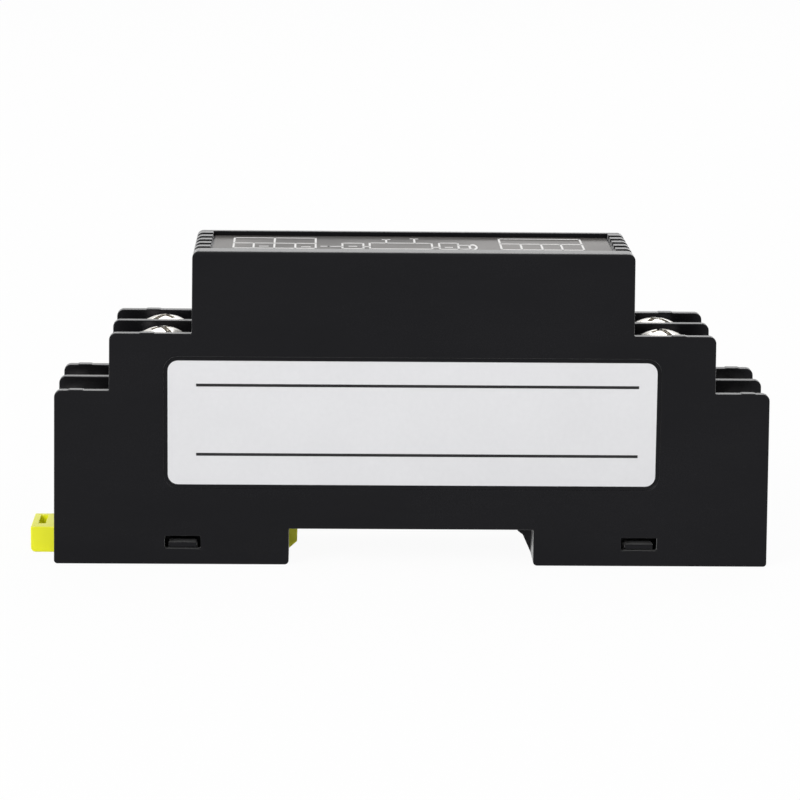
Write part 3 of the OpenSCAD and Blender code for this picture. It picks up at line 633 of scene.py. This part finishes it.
film_finish = Finish("film_gloss_black")
film_mottle = film_finish.noise(0.5, detail=3.0)
film_wave = film_finish.noise(11.0, detail=2.0)
film_rub = film_finish.noise(16.0, detail=1.0).stretched(0.35, 0.65)
film_material = film_finish.surface(
    Base_Color=film_finish.blend(film_wave.stretched(0.35, 0.7), FILM_BLACK, FILM_BROWN),
    Roughness=FILM_ROUGHNESS,
    Normal=film_finish.bump(film_wave * 0.9 + film_mottle * 0.1, FILM_WAVE_DEPTH),
    Specular_IOR_Level=0.1,
    Coat_Weight=FILM_COAT[0] + film_rub * FILM_COAT[1],
    Coat_Roughness=COAT_ROUGHNESS,
    Coat_Tint=FILM_TINT,
)
dress("top_label", film_material)

film_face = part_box("top_label")[1].z / MM
ink_low, ink_high = film_face - INK_THICKNESS, film_face + INK_THICKNESS
lines = list(STROKES)
for west, east, north, south in BOXES:
    lines += [(west, north, east, north), (west, south, east, south)]
    lines += [(west, south, west, north), (east, south, east, north)]
for grid in (LEFT_TABLE, RIGHT_TABLE):
    north, middle, south = grid["y"]
    for number, x in enumerate(grid["x"]):
        lines.append((x, south, x, north if number in grid["tall"] else middle))
    lines += [(grid["x"][0], y, grid["x"][-1], y) for y in grid["y"]]

print_form = bmesh.new()
ring_near, ring_far = RING_RADIUS - LINE_WIDTH / 2, RING_RADIUS + LINE_WIDTH / 2
ring_corners = [
    print_form.verts.new(Vector((RING_PLACE[0] + r, RING_PLACE[1], z)) * MM)
    for r, z in (
        (ring_near, ink_low),
        (ring_far, ink_low),
        (ring_far, ink_high),
        (ring_near, ink_high),
    )
]
ring_edges = [
    print_form.edges.new((ring_corners[i], ring_corners[(i + 1) % 4])) for i in range(4)
]
bmesh.ops.spin(
    print_form,
    geom=ring_corners + ring_edges,
    cent=Vector((*RING_PLACE, 0)) * MM,
    axis=(0, 0, 1),
    angle=2 * math.pi,
    steps=RING_SIDES,
    use_merge=True,
)
bmesh.ops.scale(
    print_form,
    vec=(1, RING_STRETCH, 1),
    space=Matrix.Translation(-Vector((*RING_PLACE, 0)) * MM),
    verts=print_form.verts,
)
for x0, y0, x1, y1 in lines:
    half_x = half_y = LINE_WIDTH / 2
    if y0 == y1:
        half_y = LINE_DEPTH / 2
    add_strip(
        print_form,
        (min(x0, x1) - half_x, min(y0, y1) - half_y, ink_low),
        (max(x0, x1) + half_x, max(y0, y1) + half_y, ink_high),
    )
bmesh.ops.recalc_face_normals(print_form, faces=print_form.faces)
printed("top_film_diagram", print_form, ink("ink_white", INK_WHITE))


# Circuit board: green glass-fibre board with tracks under its varnish, held on four
# posts between the halves of the housing.
BOARD_GREEN = (0.020, 0.115, 0.045, 1)
BOARD_TRACK = (0.035, 0.19, 0.075, 1)
BOARD_ROUGHNESS = 0.28
TRACK_CELL = 6.0
TRACK_DEPTH = 0.02

board_finish = Finish("board_green")
board_cells = board_finish.node(
    "ShaderNodeTexBrick",
    {"offset": 0.5},
    {
        "Vector": board_finish.place(turn=(math.pi / 2, 0, 0)),
        "Scale": 1 / (TRACK_CELL * MM),
        "Mortar Size": 0.05,
        "Brick Width": 0.9,
        "Row Height": 0.35,
    },
    output="Fac",
)
board_weave = board_finish.noise(0.2, detail=2.0)
dress(
    "circuit_board",
    board_finish.surface(
        Base_Color=board_finish.blend(board_cells, BOARD_GREEN, BOARD_TRACK),
        Roughness=BOARD_ROUGHNESS + board_weave.swing(0.12),
        Normal=board_finish.bump(board_cells * 0.7 + board_weave * 0.3, TRACK_DEPTH),
    ),
)


# Isolation transformer and choke: sintered ferrite cores, a black bobbin, and windings
# of enamelled copper wire laid turn beside turn.
FERRITE_COLOUR = (0.055, 0.052, 0.050, 1)
FERRITE_LIGHT = (0.085, 0.080, 0.076, 1)
COPPER_COLOUR = (0.70, 0.31, 0.13, 1)
COPPER_DARK = (0.42, 0.16, 0.06, 1)
COPPER_ROUGHNESS = 0.30
FERRITE_ROUGHNESS = 0.55
BOBBIN_GRAIN = 0.1
BOBBIN_ROUGHNESS = 0.4
SINTER_DEPTH = 0.01
WIRE_SINK = 0.06
CUT_REACH = 1e-7
TRANSFORMER_TURNS = 22
CHOKE_TURNS = 9


def sintered(name, dark, light, rough):
    """A body with a fine grain, pressed and fired or moulded."""
    finish = Finish(name)
    grain = finish.noise(0.16, detail=4.0, rough=0.7)
    clouds = finish.noise(2.5, detail=2.0)
    return finish.surface(
        Base_Color=finish.blend(
            (grain * 0.6 + clouds * 0.4).stretched(0.38, 0.68), dark, light
        ),
        Roughness=rough + grain.swing(0.2),
        Normal=finish.bump(grain, SINTER_DEPTH),
    )


def wound_copy(node, material, axis, turns):
    """A winding's solid with a groove between each turn of wire and the next."""
    mesh = nodes[node].data.copy()
    form = bmesh.new()
    form.from_mesh(mesh)
    bmesh.ops.remove_doubles(form, verts=form.verts, dist=MERGE_REACH)
    low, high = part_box(node)
    middle = (low + high) / 2
    pitch = (high[axis] - low[axis]) / turns
    normal = Vector([index == axis for index in range(3)])
    for number in range(1, 2 * turns):
        cut = middle.copy()
        cut[axis] = low[axis] + number * pitch / 2
        geometry = form.verts[:] + form.edges[:] + form.faces[:]
        bmesh.ops.bisect_plane(
            form, geom=geometry, dist=CUT_REACH, plane_co=cut, plane_no=normal
        )
    for vert in form.verts:
        step = (vert.co[axis] - low[axis]) / pitch
        inside = abs(step - round(step)) < 0.1 and 0.5 < step < turns - 0.5
        away = vert.co - middle
        away[axis] = 0
        outer = away.length > WIRE_SINK * MM
        if inside and outer:
            vert.co -= away.normalized() * WIRE_SINK * MM
    form.to_mesh(mesh)
    form.free()
    piece = bpy.data.objects.new(node + "_turns", mesh)
    bpy.context.scene.collection.objects.link(piece)
    mesh.materials.clear()
    mesh.materials.append(material)
    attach(piece, "housing")
    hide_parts(node)


ferrite = sintered("ferrite_dark", FERRITE_COLOUR, FERRITE_LIGHT, FERRITE_ROUGHNESS)
dress("transformer_core", ferrite)
dress("choke_core", ferrite)
bobbin_black = satin_black("bobbin_black", BOBBIN_GRAIN, COVER_DEPTH, BOBBIN_ROUGHNESS)
dress("transformer_bobbin", bobbin_black)
copper_finish = Finish("enamelled_copper")
copper_clouds = copper_finish.noise(0.7, detail=3.0)
copper = copper_finish.surface(
    Base_Color=copper_finish.blend(
        copper_clouds.stretched(0.4, 0.7), COPPER_COLOUR, COPPER_DARK
    ),
    Metallic=0.75,
    Roughness=COPPER_ROUGHNESS + copper_clouds.swing(0.2),
    Coat_Weight=0.6,
    Coat_Roughness=COAT_ROUGHNESS,
)
wound_copy("transformer_winding", copper, 2, TRANSFORMER_TURNS)
wound_copy("choke_winding", copper, 1, CHOKE_TURNS)


# Small parts on the board: capacitors in bright aluminium cans, a white coupler, black
# moulded chips and resistors, blue trimmers with brass screws, and the light's green lens.
CAN_COLOUR = (0.70, 0.71, 0.73, 1)
CAN_DULL = (0.55, 0.56, 0.58, 1)
COUPLER_COLOUR = (0.74, 0.73, 0.69, 1)
COUPLER_SHADE = (0.66, 0.65, 0.60, 1)
CHIP_COLOUR = (0.018, 0.018, 0.020, 1)
CHIP_LIGHT = (0.030, 0.030, 0.032, 1)
TRIMMER_COLOUR = (0.02, 0.07, 0.36, 1)
TRIMMER_LIGHT = (0.03, 0.10, 0.44, 1)
BRASS_COLOUR = (0.76, 0.56, 0.24, 1)
BRASS_DULL = (0.60, 0.42, 0.18, 1)
LENS_COLOUR = (0.16, 0.62, 0.22, 1)
LENS_LIGHT = (0.28, 0.78, 0.32, 1)

can = plated("capacitor_can", CAN_COLOUR, CAN_DULL, rough=0.28)
for node in ("input_capacitor", "output_capacitor"):
    dress(node, can)
dress("optocoupler", sintered("coupler_white", COUPLER_COLOUR, COUPLER_SHADE, rough=0.45))
chip_black = sintered("chip_black", CHIP_COLOUR, CHIP_LIGHT, rough=0.42)
for node in ("amplifier_chip", "regulator_chip", "rectifier_diodes", "chip_resistors"):
    dress(node, chip_black)
trimmer_blue = sintered("trimmer_blue", TRIMMER_COLOUR, TRIMMER_LIGHT, rough=0.32)
trimmer_brass = plated("trimmer_brass", BRASS_COLOUR, BRASS_DULL, rough=0.28)
for name in ("zero", "span"):
    dress(name + "_trimmer", trimmer_blue)
    dress(name + "_trimmer_screw", trimmer_brass)
lens_finish = Finish("lens_green")
lens_clouds = lens_finish.noise(0.4, detail=2.0)
dress(
    "power_light",
    lens_finish.surface(
        Base_Color=lens_finish.blend(lens_clouds.stretched(0.4, 0.7), LENS_COLOUR, LENS_LIGHT),
        Roughness=0.22 + lens_clouds.swing(0.1),
        Coat_Weight=0.4,
        Coat_Roughness=0.1,
    ),
)
